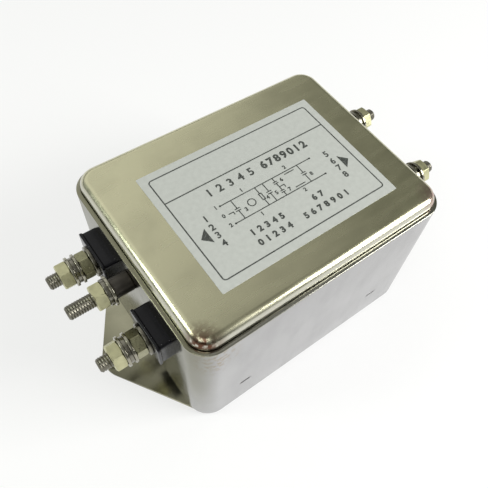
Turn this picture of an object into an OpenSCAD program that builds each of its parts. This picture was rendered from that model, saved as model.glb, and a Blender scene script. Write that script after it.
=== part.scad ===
// Metal-cased power line filter with five stud terminals.
// X runs along the case from the line end (-X) to the load end (+X).
// Z is up, and the origin is at the centre of the base plate's underside.

/* [Can] */
// Length of the can over its end walls
can_l = 85; // [80:0.5:100]
// Width of the can over its long walls
can_w = 65.8; // [62:0.2:80]
// Height of the can's rim above the mounting surface
rim_z = 50.8; // [50.4:0.1:60]
// Sheet thickness of the can
can_t = 1.2; // [0.8:0.1:1.4]
// Outer radius of the can's upright corners
can_corner_r = 7.2; // [5:0.1:9]
// Outer radius of the can's lower edge
can_edge_r = 1.2; // [0.6:0.1:1.4]
// Chamfer inside the rim that leaves the seam open
rim_chamfer = 0.3; // [0.1:0.05:0.5]
// Radius that rounds the rim's outer edge
rim_edge_r = 0.35; // [0.1:0.05:0.4]

/* [Press marks] */
// Length of a press mark in the front wall
mark_l = 4.2; // [2:0.1:6]
// Height of a press mark
mark_h = 1.2; // [0.8:0.1:2]
// Depth of a press mark
mark_depth = 0.35; // [0.1:0.05:0.5]
// Height of the press marks above the mounting surface
mark_z = 15.2; // [10:0.1:25]
// Distance of the left press mark from the middle
mark_left_x = 26.9; // [15:0.1:30]
// Distance of the right press mark from the middle
mark_right_x = 23.9; // [15:0.1:30]

/* [Lid] */
// Height of the lid's top above the rim
lid_rise = 3.6; // [3.2:0.1:6]
// Depth of the lid's skirt below the rim
lid_skirt = 2.2; // [1:0.1:2.4]
// Sheet thickness of the lid
lid_t = 0.8; // [0.5:0.1:1.2]
// Outer radius of the lid's upper edge
lid_edge_r = 2.65; // [2:0.05:3]
// Gap between the lid's skirt and the can wall
lid_gap = 0.25; // [0.1:0.05:0.4]

/* [Base plate] */
// Sheet thickness of the base plate
plate_t = 1.0; // [0.8:0.1:2]
// Distance that an ear reaches beyond the end wall
ear_out = 15; // [13.5:0.25:17]
// Radius of an ear's round tip
ear_r = 8.5; // [7:0.5:10.5]
// Half width of an ear where it leaves the can
ear_root = 28.1; // [26:0.1:29]
// Distance that the ear's root lies inside the end wall
ear_inset = 1; // [0.5:0.5:3]
// Distance of a mounting slot's middle from the ear's tip
slot_edge = 6; // [5:0.25:7]
// Width of a mounting slot
slot_w = 4.5; // [3.5:0.1:5]
// Length of a mounting slot from end to end
slot_l = 6.5; // [5.5:0.1:8]

/* [Label] */
// Length of the label
label_l = 59.2; // [40:0.2:66]
// Width of the label
label_w = 41.8; // [30:0.2:46]
// Thickness of the label
label_t = 0.15; // [0.1:0.05:0.3]
// Place of the label's middle along the can
label_x = 1.4; // [-2:0.1:2]
// Place of the label's middle across the can
label_y = -1.1; // [-2:0.1:2]

/* [Terminals] */
// Distance of a terminal from the can's middle plane
term_y = 14.1; // [13:0.1:17]
// Height of the line and load terminals
term_z = 37.7; // [34:0.1:38]
// Width of a terminal block
block_w = 13.5; // [12:0.1:15]
// Height of a terminal block
block_h = 9.6; // [9:0.1:12]
// Distance that a terminal block stands out of the wall
block_d = 4.4; // [3:0.1:6]
// Thickness of the lip at the block's outer face
lip_t = 0.8; // [0.4:0.1:1.5]
// Distance that the lip stands proud of the block
lip_out = 0.35; // [0.1:0.05:0.6]
// Radius of the block's corners
block_r = 0.8; // [0.3:0.1:1.5]
// Radius of the boss that passes through the wall
boss_r = 4.0; // [3.2:0.1:4.4]
// Radius of the insulator ring inside the wall
insulator_r = 6.3; // [5.5:0.1:6.5]
// Thickness of the insulator ring inside the wall
insulator_t = 1.5; // [1:0.1:2]

/* [Fasteners] */
// Radius of the terminal studs
stud_r = 2.0; // [1.5:0.1:2.2]
// Distance of a stud's tip from the end wall
stud_out = 17.9; // [16:0.1:22]
// Chamfer at a stud's tip
stud_chamfer = 0.5; // [0.2:0.05:0.6]
// Thickness of a stud's hexagon head
head_t = 2.8; // [2:0.1:3.5]
// Width of a nut or head across its flats
nut_af = 7; // [6:0.1:8]
// Thickness of a nut
nut_t = 3.2; // [2.2:0.1:3.4]
// Drop of the round chamfer at a nut's corners
nut_chamfer = 0.35; // [0.1:0.05:0.5]
// Radius of the contact washer on a terminal block
contact_r = 4.7; // [4.2:0.1:5]
// Thickness of the contact washer
contact_t = 1.0; // [0.6:0.1:1.5]
// Radius of a flat washer
flat_r = 4.4; // [4.2:0.1:4.5]
// Thickness of a flat washer
flat_t = 0.8; // [0.5:0.1:1]
// Radius of a spring washer
spring_r = 3.8; // [3.4:0.1:4.2]
// Thickness of a spring washer
spring_t = 1.1; // [0.8:0.1:1.4]
// Width of the split in a spring washer
split_w = 0.9; // [0.4:0.1:1.4]
// Slant of the split in a spring washer, in degrees
split_slant = 20; // [0:1:30]

/* [Ground stud] */
// Height of the ground stud
ground_z = 43.6; // [41:0.1:43.6]
// Radius of the collar on the ground stud
collar_r = 2.9; // [2.6:0.1:4]
// Length of the collar on the ground stud
collar_l = 5.5; // [4:0.1:7]
// Radius of the pad washer inside the wall
pad_r = 4.0; // [3.5:0.1:4.2]

/* [Inner parts] */
// Thickness of the insulating liner
liner_t = 0.6; // [0.3:0.1:0.8]
// Depth of the potting under the board
potting_t = 4; // [2:0.5:6]
// Thickness of the circuit board
board_t = 1.6; // [1:0.1:2.4]
// Radius of the wire leads
wire_r = 0.8; // [0.5:0.05:0.9]
// Thickness of a ring tag
tag_t = 0.8; // [0.5:0.1:1]
// Radius of a ring tag
tag_r = 4.2; // [3.8:0.1:4.4]
// Outer radius of a ring tag's barrel
barrel_r = 1.2; // [1.1:0.05:1.4]
// Length of a ring tag's barrel
barrel_l = 4; // [3:0.1:5]

/* [Chokes] */
// Share of the can's width that a wound choke takes
choke_share = 0.45; // [0.38:0.01:0.45]
// Width of the core's section
core_w = 6; // [4:0.5:6.5]
// Height of the core's section
core_h = 11; // [8:0.5:14]
// Thickness of a winding on the core
winding_t = 1.8; // [1:0.1:2.2]
// Arc that a winding covers, in degrees
winding_arc = 140; // [100:5:150]
// Thickness of the divider between the windings
divider_t = 1.2; // [0.8:0.1:2]
// Distance of a choke from the can's middle along X
choke_x = 16.8; // [16:0.1:17]
// Distance of the chokes from the board's long edge
choke_wall = 3.7; // [2:0.1:4.5]

/* [Capacitors and resistor] */
// Length of a mains capacitor
xcap_l = 18; // [13:0.5:20]
// Share of the can's width that a mains capacitor takes
xcap_share = 0.13; // [0.1:0.01:0.15]
// Height of a mains capacitor
xcap_h = 15; // [11:0.5:18]
// Distance between neighbouring mains capacitors
xcap_pitch = 23; // [21:0.5:25]
// Distance of the mains capacitors from the board's long edge
xcap_wall = 5.7; // [4:0.1:6.5]
// Radius of a disc capacitor
ycap_r = 4.2; // [3:0.1:5]
// Thickness of a disc capacitor
ycap_t = 3.4; // [2:0.1:4]
// Distance between the disc capacitors
ycap_pitch = 16; // [12:0.5:18]
// Length of the resistor's body
resistor_l = 6.5; // [4:0.1:8]
// Radius of the resistor's body
resistor_r = 1.3; // [0.8:0.1:1.6]
// Distance of the resistor's middle from the board's line end
resistor_wall = 16.1; // [12:0.1:20]

/* [Fits] */
// Radial clearance of a nut on its stud's thread
thread_gap = 0.05; // [0.02:0.01:0.1]
// Radial clearance of a washer or bore on its stud
washer_gap = 0.15; // [0.1:0.05:0.3]
// Clearance between parts that are laid in the can
lay_gap = 0.3; // [0.2:0.05:0.5]
// Radial clearance of a boss or wire in its hole
boss_gap = 0.2; // [0.1:0.05:0.3]

/* [Hidden] */
$fn = 64;
over = 1;
leg_r = 0.3;
ear_steps = 24;

// Terminal places as end and side: the line end is -1, the L side is +1
LINE_L = [-1, 1];
LINE_N = [-1, -1];
LOAD_L = [1, 1];
LOAD_N = [1, -1];
TERMINALS = [LINE_L, LINE_N, LOAD_L, LOAD_N];

// Heights
can_floor_z = plate_t + can_t;
lid_top_z = rim_z + lid_rise;
skirt_z = rim_z - lid_skirt;
board_z = can_floor_z + liner_t + potting_t;
board_top_z = board_z + board_t;

// Base plate
plate_l = can_l + 2 * ear_out;
slot_pitch = plate_l - 2 * slot_edge;

// Lid outline
lid_in = can_t + lid_gap;
lid_l = can_l - 2 * lid_in;
lid_w = can_w - 2 * lid_in;
lid_corner_r = can_corner_r - lid_in;

// Liner and what is laid in it, all measured inwards from the can's outer faces
liner_in = can_t + lay_gap;
inner_in = liner_in + liner_t;
laid_in = inner_in + lay_gap;

// Rows on the board, measured across it from the can's middle
wound_r = choke_share * can_w / 2;
core_r = wound_r - winding_t;
choke_y = can_w / 2 - laid_in - choke_wall - wound_r;
xcap_w = xcap_share * can_w;
xcap_y = can_w / 2 - laid_in - xcap_wall - xcap_w / 2;
small_row_y = (xcap_y - xcap_w / 2 + wound_r - choke_y) / 2;

// Place of the resistor along the board
resistor_x = laid_in + resistor_wall - can_l / 2;

// Stack of a line or load terminal, outwards from the end wall
contact_at = block_d;
inner_nut_at = contact_at + contact_t;
first_flat_at = inner_nut_at + nut_t;
spring_at = first_flat_at + flat_t;
second_flat_at = spring_at + spring_t;
outer_nut_at = second_flat_at + flat_t;

// Stack of a line or load terminal, inwards from the end wall
insulator_at = inner_in;
tag_at = insulator_at + insulator_t;
head_at = tag_at + tag_t;

// Stack of the ground stud, outwards and then inwards
ground_flat_at = collar_l;
ground_spring_at = ground_flat_at + flat_t;
ground_nut_at = ground_spring_at + spring_t;
ground_tag_at = inner_in + lay_gap;
ground_head_at = ground_tag_at + tag_t;

// Places on a ring tag
barrel_from = nut_af / sqrt(3) + lay_gap + wire_r;
wire_from = barrel_from + leg_r;
barrel_back = barrel_r + leg_r / 3;

// Turns of the nuts as photographed, in degrees
inner_turns = [12, 0, 8, 20];
outer_turns = [28, 32, 26, 34];
split_turns = [40, 75, 120, 200];

// A flat plate with round upright corners, standing on z = 0
module round_plate(l, w, r, h) {
    linear_extrude(h)
        union() {
            square([l - 2 * r, w], center = true);
            square([l, w - 2 * r], center = true);
            for (sx = [-1, 1], sy = [-1, 1])
                translate([sx * (l / 2 - r), sy * (w / 2 - r)])
                    circle(r);
        }
}

// Section of a slab whose lower edges are round
module edge_section(half, h, e) {
    translate([-half, e])
        square([2 * half, h - e]);
    translate([e - half, 0])
        square([2 * (half - e), h]);
    for (s = [-1, 1])
        translate([s * (half - e), e])
            circle(e);
}

// A slab with round upright corners and a round lower edge
module tub(l, w, r, e, h) {
    for (sx = [-1, 1], sy = [-1, 1])
        translate([sx * (l / 2 - r), sy * (w / 2 - r), 0])
            rotate_extrude()
                intersection() {
                    edge_section(r, h, e);
                    square([r, h]);
                }
    translate([r - l / 2, 0, 0])
        rotate([90, 0, 90])
            linear_extrude(l - 2 * r)
                edge_section(w / 2, h, e);
    translate([0, w / 2 - r, 0])
        rotate([90, 0, 0])
            linear_extrude(w - 2 * r)
                edge_section(l / 2, h, e);
}

// Section of a slab that widens by g over its height
module flare_section(half, h, g) {
    polygon([[-half, 0], [half, 0], [half + g, h], [-half - g, h]]);
}

// A slab with round corners that widens by g over its height
module flare(l, w, r, h, g) {
    for (sx = [-1, 1], sy = [-1, 1])
        translate([sx * (l / 2 - r), sy * (w / 2 - r), 0])
            cylinder(h = h, r1 = r, r2 = r + g);
    translate([r - l / 2, 0, 0])
        rotate([90, 0, 90])
            linear_extrude(l - 2 * r)
                flare_section(w / 2, h, g);
    translate([0, w / 2 - r, 0])
        rotate([90, 0, 0])
            linear_extrude(w - 2 * r)
                flare_section(l / 2, h, g);
}

// Puts a piece on an end wall: its z points out of the wall and its x points down
module on_end(end, y, z) {
    translate([0, y, z])
        mirror([end < 0 ? 1 : 0, 0, 0])
            translate([can_l / 2, 0, 0])
                rotate([0, 90, 0])
                    children();
}

// Puts a piece on the axis of one line or load terminal
module on_terminal(place) {
    on_end(place[0], place[1] * term_y, term_z)
        children();
}

// Puts a piece on the axis of the ground stud
module on_ground() {
    on_end(-1, 0, ground_z)
        children();
}

// A ring from height at, with its hole
module ring(at, t, r, hole_r) {
    translate([0, 0, at])
        difference() {
            cylinder(h = t, r = r);
            translate([0, 0, -over])
                cylinder(h = t + 2 * over, r = hole_r);
        }
}

// A hexagon with round chamfers on the faces that chamfer names
module hex_body(t, low, high) {
    corner = nut_af / sqrt(3);
    intersection() {
        cylinder(h = t, r = corner, $fn = 6);
        rotate_extrude()
            polygon([
                [0, 0], [corner - low * 2, 0], [corner, low], [corner, t - high],
                [corner - high * 2, t], [0, t]
            ]);
    }
}

module nut(at, turn) {
    translate([0, 0, at])
        rotate([0, 0, turn])
            difference() {
                hex_body(nut_t, nut_chamfer, nut_chamfer);
                translate([0, 0, -over])
                    cylinder(h = nut_t + 2 * over, r = stud_r + thread_gap);
            }
}

module flat_washer(at, t, r) {
    ring(at, t, r, stud_r + washer_gap);
}

module spring_washer(at, turn) {
    difference() {
        ring(at, spring_t, spring_r, stud_r + washer_gap);
        rotate([0, 0, turn])
            translate([0, -split_w / 2, at + spring_t / 2])
                rotate([split_slant, 0, 0])
                    translate([0, 0, -spring_r])
                        cube([spring_r + over, split_w, 2 * spring_r]);
    }
}

// A hexagon-headed stud whose head starts in_d inside the wall's outer face
module stud(in_d) {
    translate([0, 0, -in_d - head_t])
        hex_body(head_t, nut_chamfer, 0);
    translate([0, 0, -in_d])
        cylinder(h = in_d + stud_out - stud_chamfer, r = stud_r);
    translate([0, 0, stud_out - stud_chamfer])
        cylinder(h = stud_chamfer, r1 = stud_r, r2 = stud_r - stud_chamfer);
}

module block() {
    difference() {
        union() {
            round_plate(block_h, block_w, block_r, block_d);
            translate([0, 0, block_d - lip_t])
                round_plate(block_h + 2 * lip_out, block_w + 2 * lip_out, block_r + lip_out, lip_t);
            translate([0, 0, boss_gap - tag_at])
                cylinder(h = tag_at, r = boss_r);
        }
        translate([0, 0, -tag_at])
            cylinder(h = tag_at + block_d + over, r = stud_r + washer_gap);
    }
}

// A ring tag whose eye starts at_d inside the wall's outer face
module ring_tag(at_d) {
    difference() {
        union() {
            translate([0, 0, -at_d - tag_t])
                cylinder(h = tag_t, r = tag_r);
            translate([0, -wire_r, -at_d - tag_t])
                cube([barrel_from + barrel_r, 2 * wire_r, tag_t]);
            translate([barrel_from, 0, -at_d - barrel_back])
                rotate([0, 90, 0])
                    cylinder(h = barrel_l, r = barrel_r);
        }
        translate([0, 0, -at_d - tag_t - over])
            cylinder(h = tag_t + 2 * over, r = stud_r + washer_gap);
        translate([barrel_from, 0, -at_d - barrel_back])
            rotate([0, 90, 0])
                cylinder(h = barrel_l + over, r = wire_r + thread_gap);
    }
}

// A wire from the tag's barrel down through the board
module lead(end, y, z, at_d) {
    translate([end * (can_l / 2 - at_d - barrel_back), y, board_z])
        cylinder(h = z - wire_from - board_z, r = wire_r);
}

module terminal_lead(place) {
    lead(place[0], place[1] * term_y, term_z, tag_at);
}

// A long shallow press mark in the front wall
module press_mark(x) {
    translate([x, -can_w / 2 + mark_depth, mark_z])
        rotate([90, 0, 0])
            linear_extrude(mark_depth + over)
                union() {
                    square([mark_l - mark_h, mark_h], center = true);
                    for (s = [-1, 1])
                        translate([s * (mark_l - mark_h) / 2, 0])
                            circle(mark_h / 2);
                }
}

module can() {
    color("silver")
        difference() {
            intersection() {
                translate([0, 0, plate_t])
                    tub(can_l, can_w, can_corner_r, can_edge_r, rim_z - plate_t);
                translate([0, 0, rim_z])
                    mirror([0, 0, 1])
                        tub(can_l, can_w, can_corner_r, rim_edge_r, rim_z - plate_t);
            }
            translate([0, 0, can_floor_z])
                round_plate(can_l - 2 * can_t, can_w - 2 * can_t, can_corner_r - can_t, rim_z);
            translate([0, 0, rim_z - rim_chamfer])
                flare(can_l - 2 * can_t, can_w - 2 * can_t, can_corner_r - can_t, rim_chamfer, rim_chamfer);
            for (place = TERMINALS)
                on_terminal(place)
                    translate([0, 0, -can_t - over])
                        cylinder(h = can_t + 2 * over, r = boss_r + boss_gap);
            on_ground()
                translate([0, 0, -can_t - over])
                    cylinder(h = can_t + 2 * over, r = stud_r + washer_gap);
            press_mark(-mark_left_x);
            press_mark(mark_right_x);
        }
}

module lid() {
    color("khaki")
        translate([0, 0, lid_top_z])
            mirror([0, 0, 1])
                difference() {
                    tub(lid_l, lid_w, lid_corner_r, lid_edge_r, lid_rise + lid_skirt);
                    translate([0, 0, lid_t])
                        tub(
                            lid_l - 2 * lid_t, lid_w - 2 * lid_t, lid_corner_r - lid_t,
                            lid_edge_r - lid_t, lid_rise + lid_skirt
                        );
                }
}

// Points of one ear, end -1 or 1, turning left from its root round the tip
function ear_points(end) =
    let (
        root_x = can_l / 2 - ear_inset,
        tip_x = plate_l / 2 - ear_r,
        reach = norm([tip_x - root_x, ear_root]),
        side_angle = atan2(ear_root, tip_x - root_x) - asin(ear_r / reach),
        arc = 90 - side_angle
    )
    [
        [end * root_x, -end * ear_root],
        for (i = [0 : ear_steps])
            let (angle = arc * (2 * i / ear_steps - 1))
            end * [tip_x + ear_r * cos(angle), ear_r * sin(angle)],
        [end * root_x, end * ear_root]
    ];

module slot(end) {
    translate([end * slot_pitch / 2, 0])
        square([slot_l - slot_w, slot_w], center = true);
    for (s = [-1, 1])
        translate([end * slot_pitch / 2 + s * (slot_l - slot_w) / 2, 0])
            circle(slot_w / 2);
}

module base_plate() {
    color("gainsboro")
        linear_extrude(plate_t)
            difference() {
                polygon(concat(ear_points(1), ear_points(-1)));
                slot(1);
                slot(-1);
            }
}

module label() {
    color("whitesmoke")
        translate([label_x - label_l / 2, label_y - label_w / 2, lid_top_z])
            cube([label_l, label_w, label_t]);
}

module terminal_block(place) {
    color("black")
        on_terminal(place)
            block();
}

module terminal_stud(place) {
    color("silver")
        on_terminal(place)
            stud(head_at);
}

module contact_washers() {
    color("silver")
        for (place = TERMINALS)
            on_terminal(place)
                flat_washer(contact_at, contact_t, contact_r);
}

module inner_nuts() {
    color("wheat")
        for (i = [0 : len(TERMINALS) - 1])
            on_terminal(TERMINALS[i])
                nut(inner_nut_at, inner_turns[i]);
}

module terminal_flat_washers(place) {
    color("silver")
        on_terminal(place) {
            flat_washer(first_flat_at, flat_t, flat_r);
            flat_washer(second_flat_at, flat_t, flat_r);
        }
}

module terminal_spring_washer(i) {
    color("dimgray")
        on_terminal(TERMINALS[i])
            spring_washer(spring_at, split_turns[i]);
}

module terminal_nut(i) {
    color("wheat")
        on_terminal(TERMINALS[i])
            nut(outer_nut_at, outer_turns[i]);
}

module ground_stud() {
    color("darkgray")
        on_ground()
            stud(ground_head_at);
}

module ground_collar() {
    color("saddlebrown")
        on_ground()
            ring(0, collar_l, collar_r, stud_r + washer_gap);
}

module ground_flat_washer() {
    color("silver")
        on_ground()
            flat_washer(ground_flat_at, flat_t, flat_r);
}

module ground_spring_washer() {
    color("dimgray")
        on_ground()
            spring_washer(ground_spring_at, split_turns[0]);
}

module ground_nut() {
    color("wheat")
        on_ground()
            nut(ground_nut_at, outer_turns[0]);
}

module inner_insulators() {
    color("black")
        for (place = TERMINALS)
            on_terminal(place)
                ring(-tag_at, insulator_t, insulator_r, boss_r + boss_gap);
}

module ground_pad_washer() {
    color("silver")
        on_ground()
            ring(-ground_tag_at, ground_tag_at - can_t, pad_r, stud_r + washer_gap);
}

module ring_tags() {
    color("goldenrod") {
        for (place = TERMINALS)
            on_terminal(place)
                ring_tag(tag_at);
        on_ground()
            ring_tag(ground_tag_at);
    }
}

module ground_lead() {
    color("yellowgreen")
        lead(-1, 0, ground_z, ground_tag_at);
}

module liner() {
    color("tan")
        difference() {
            translate([0, 0, can_floor_z])
                round_plate(
                    can_l - 2 * liner_in, can_w - 2 * liner_in, can_corner_r - liner_in,
                    skirt_z - can_floor_z
                );
            translate([0, 0, can_floor_z + liner_t])
                round_plate(
                    can_l - 2 * inner_in, can_w - 2 * inner_in, can_corner_r - inner_in, skirt_z
                );
            for (place = TERMINALS)
                on_terminal(place)
                    translate([0, 0, -inner_in - over])
                        cylinder(h = inner_in + over, r = boss_r + boss_gap);
            on_ground()
                translate([0, 0, -inner_in - over])
                    cylinder(h = inner_in + over, r = pad_r + lay_gap);
        }
}

// A slab that lies in the liner
module laid_slab(z, t) {
    translate([0, 0, z])
        round_plate(can_l - 2 * laid_in, can_w - 2 * laid_in, can_corner_r - laid_in, t);
}

module potting() {
    color("dimgray")
        laid_slab(can_floor_z + liner_t, potting_t);
}

module circuit_board() {
    color("darkgreen")
        difference() {
            laid_slab(board_z, board_t);
            for (place = TERMINALS)
                translate([place[0] * (can_l / 2 - tag_at - barrel_back), place[1] * term_y, board_z - over])
                    cylinder(h = board_t + 2 * over, r = wire_r + boss_gap);
            translate([ground_tag_at + barrel_back - can_l / 2, 0, board_z - over])
                cylinder(h = board_t + 2 * over, r = wire_r + boss_gap);
        }
}

// Puts a piece at the middle of a choke's core, side -1 or 1
module at_choke(side) {
    core_bottom = board_top_z + winding_t + thread_gap;
    translate([side * choke_x, choke_y, core_bottom])
        children();
}

module choke_core(side) {
    color("darkslategray")
        at_choke(side)
            ring(0, core_h, core_r, core_r - core_w);
}

// A sleeve of turns round the core's section, over an arc that starts at turn
module winding(side, turn) {
    hole = [core_w + 2 * thread_gap, core_h + 2 * thread_gap];
    at_choke(side)
        rotate([0, 0, turn - winding_arc / 2])
            rotate_extrude(angle = winding_arc)
                translate([core_r - core_w / 2, core_h / 2])
                    difference() {
                        square([hole[0] + 2 * winding_t, hole[1] + 2 * winding_t], center = true);
                        square(hole, center = true);
                    }
}

module choke_divider(side) {
    long = 2 * (core_r - core_w) - 2 * lay_gap;
    color("ivory")
        at_choke(side)
            translate([-long / 2, -divider_t / 2, -winding_t - thread_gap])
                cube([long, divider_t, core_h + 2 * winding_t]);
}

module x_capacitor(step) {
    color("gold")
        translate([step * xcap_pitch, -xcap_y, board_top_z])
            round_plate(xcap_l, xcap_w, leg_r, xcap_h);
}

module y_capacitor(side) {
    color("royalblue")
        translate([side * ycap_pitch / 2, -small_row_y, board_top_z]) {
            translate([0, ycap_t / 2, ycap_r + wire_r])
                rotate([90, 0, 0])
                    cylinder(h = ycap_t, r = ycap_r);
            for (s = [-1, 1])
                translate([s * ycap_r / 2, 0, 0])
                    cylinder(h = ycap_r, r = leg_r);
        }
}

module bleed_resistor() {
    rise = resistor_r + wire_r;
    span = resistor_l + 4 * resistor_r;
    color("skyblue")
        translate([resistor_x, -small_row_y, board_top_z]) {
            translate([-resistor_l / 2, 0, rise])
                rotate([0, 90, 0])
                    cylinder(h = resistor_l, r = resistor_r);
            translate([-span / 2, 0, rise])
                rotate([0, 90, 0])
                    cylinder(h = span, r = leg_r);
            for (s = [-1, 1])
                translate([s * span / 2, 0, 0])
                    cylinder(h = rise, r = leg_r);
        }
}

can();
lid();
base_plate();
label();
terminal_block(LINE_L);  // line_l_block
terminal_block(LINE_N);  // line_n_block
terminal_block(LOAD_L);  // load_l_block
terminal_block(LOAD_N);  // load_n_block
terminal_stud(LINE_L);  // line_l_stud
terminal_stud(LINE_N);  // line_n_stud
terminal_stud(LOAD_L);  // load_l_stud
terminal_stud(LOAD_N);  // load_n_stud
contact_washers();
inner_nuts();
terminal_flat_washers(LINE_L);  // line_l_flat_washers
terminal_flat_washers(LINE_N);  // line_n_flat_washers
terminal_flat_washers(LOAD_L);  // load_l_flat_washers
terminal_flat_washers(LOAD_N);  // load_n_flat_washers
terminal_spring_washer(0);  // line_l_spring_washer
terminal_spring_washer(1);  // line_n_spring_washer
terminal_spring_washer(2);  // load_l_spring_washer
terminal_spring_washer(3);  // load_n_spring_washer
terminal_nut(0);  // line_l_nut
terminal_nut(1);  // line_n_nut
terminal_nut(2);  // load_l_nut
terminal_nut(3);  // load_n_nut
ground_stud();
ground_collar();
ground_flat_washer();
ground_spring_washer();
ground_nut();
inner_insulators();
ground_pad_washer();
ring_tags();
color("firebrick") terminal_lead(LINE_L);  // line_l_lead
color("navy") terminal_lead(LINE_N);  // line_n_lead
color("firebrick") terminal_lead(LOAD_L);  // load_l_lead
color("navy") terminal_lead(LOAD_N);  // load_n_lead
ground_lead();
liner();
potting();
circuit_board();
choke_core(-1);  // choke_1_core
color("chocolate") winding(-1, 90);  // choke_1_line_winding
color("sienna") winding(-1, -90);  // choke_1_neutral_winding
choke_divider(-1);  // choke_1_divider
choke_core(1);  // choke_2_core
color("chocolate") winding(1, 90);  // choke_2_line_winding
color("sienna") winding(1, -90);  // choke_2_neutral_winding
choke_divider(1);  // choke_2_divider
x_capacitor(-1);  // line_x_capacitor
x_capacitor(0);  // middle_x_capacitor
x_capacitor(1);  // load_x_capacitor
y_capacitor(-1);  // line_y_capacitor
y_capacitor(1);  // neutral_y_capacitor
bleed_resistor();
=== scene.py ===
"""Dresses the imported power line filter: finishes, threads, print and the studio round it."""

import math

import bmesh
import bpy
from bpy.props import FloatProperty, FloatVectorProperty, IntProperty, PointerProperty
from mathutils import Matrix, Vector
from mathutils.geometry import tessellate_polygon


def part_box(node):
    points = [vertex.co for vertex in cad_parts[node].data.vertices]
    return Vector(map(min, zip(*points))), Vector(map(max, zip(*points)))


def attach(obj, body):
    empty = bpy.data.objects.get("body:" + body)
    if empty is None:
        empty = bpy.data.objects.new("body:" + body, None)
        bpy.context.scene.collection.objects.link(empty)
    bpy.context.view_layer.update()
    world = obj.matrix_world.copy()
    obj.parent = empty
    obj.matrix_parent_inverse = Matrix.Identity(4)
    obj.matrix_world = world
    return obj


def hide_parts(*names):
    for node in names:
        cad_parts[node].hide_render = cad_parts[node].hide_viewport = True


bl_info = {
    "name": "Power line filter",
    "version": (1, 0, 0),
    "blender": (4, 5, 0),
    "location": "3D View > Sidebar > Filter",
    "description": "Builds the visible pieces of a metal-cased power line filter",
    "category": "Object",
}

MM = 0.001
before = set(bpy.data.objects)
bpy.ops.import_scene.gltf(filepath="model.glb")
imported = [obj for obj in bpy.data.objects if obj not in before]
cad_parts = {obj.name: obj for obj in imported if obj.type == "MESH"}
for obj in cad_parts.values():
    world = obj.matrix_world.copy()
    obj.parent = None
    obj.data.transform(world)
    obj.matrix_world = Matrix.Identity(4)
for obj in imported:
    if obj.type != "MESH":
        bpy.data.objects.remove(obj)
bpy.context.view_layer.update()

CAN_LOW, CAN_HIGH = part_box("can")
LID_LOW, LID_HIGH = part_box("lid")
PLATE_LOW, PLATE_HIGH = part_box("base_plate")
LABEL_LOW, LABEL_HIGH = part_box("label")
END_X = CAN_HIGH.x

# The end that each stud is on: -1 line, 1 load
ENDS = {"line_l": -1, "line_n": -1, "load_l": 1, "load_n": 1, "ground": -1}
TERMINALS = ("line_l", "line_n", "load_l", "load_n")
# Degrees that each nut, and the split of each spring washer, is turned by on its stud
INNER_TURNS = {"line_l": 12, "line_n": 0, "load_l": 8, "load_n": 20}
OUTER_TURNS = {"line_l": 28, "line_n": 32, "load_l": 26, "load_n": 34, "ground": 28}
SPLIT_TURNS = {"line_l": 40, "line_n": 75, "load_l": 120, "load_n": 200, "ground": 40}


def length(name, description, millimetres):
    """A length property whose default is given in millimetres."""
    return FloatProperty(
        name=name, description=description, default=millimetres * MM, min=0.0, unit="LENGTH", precision=5
    )


def colour(name, description, value):
    """A colour property."""
    return FloatVectorProperty(
        name=name, description=description, default=value, size=3, min=0.0, max=1.0, subtype="COLOR"
    )


class CanSizes(bpy.types.PropertyGroup):
    """Sizes of the drawn can, its lid and its base plate."""

    wall: length("Wall", "Sheet thickness of the can", 1.2)
    corner: length("Upright corner", "Radius of the can's upright corners", 7.2)
    foot: length("Lower edge", "Radius of the can's lower edge", 1.2)
    rim: length("Rim edge", "Radius of the rim's outer edge", 0.2)
    rim_in: length("Rim inner edge", "Radius inside the rim", 0.15)
    floor: length("Floor", "Height of the can's inner floor", 2.2)
    mark_length: length("Press mark length", "Length of a press mark", 4.2)
    mark_height: length("Press mark height", "Height of a press mark", 1.2)
    mark_depth: length("Press mark depth", "Depth of a press mark", 0.35)
    mark_z: length("Press mark place", "Height of the press marks above the floor", 15.2)
    mark_left: length("Left press mark", "Distance of the left press mark from the middle", 26.9)
    mark_right: length("Right press mark", "Distance of the right press mark from the middle", 23.9)
    lid_sheet: length("Lid sheet", "Sheet thickness of the lid", 0.8)
    lid_corner: length("Lid corner", "Radius of the lid's upright corners", 5.75)
    lid_out: length("Lid bulge", "Distance that the lid's sides come nearer to the rim", 0.13)
    lid_edge: length("Lid edge", "Radius of the roll round the lid's top", 2.65)
    ear_tip: length("Ear tip", "Radius of an ear's tip", 8.5)
    ear_root: length("Ear root", "Half width of an ear at the can", 28.1)
    slot_pitch: length("Slot pitch", "Distance between the mounting slots", 103.0)
    slot_length: length("Slot length", "Length of a mounting slot", 6.5)
    slot_width: length("Slot width", "Width of a mounting slot", 4.5)
    plate_edge: length("Plate edge", "Radius on the sheared edge of the plate", 0.18)


class LabelSizes(bpy.types.PropertyGroup):
    """Sizes of the label and its print."""

    corner: length("Corner", "Radius of the label's corners", 0.35)
    print_depth: length("Print thickness", "Thickness of the ink", 0.04)
    line: length("Line width", "Width of the frame's line", 0.34)
    thin_line: length("Thin line width", "Width of the lines in the circuit drawing", 0.28)
    title: length("Title height", "Height of the figures in the title row", 2.5)
    text: length("Text height", "Height of the other figures", 2.0)


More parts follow.
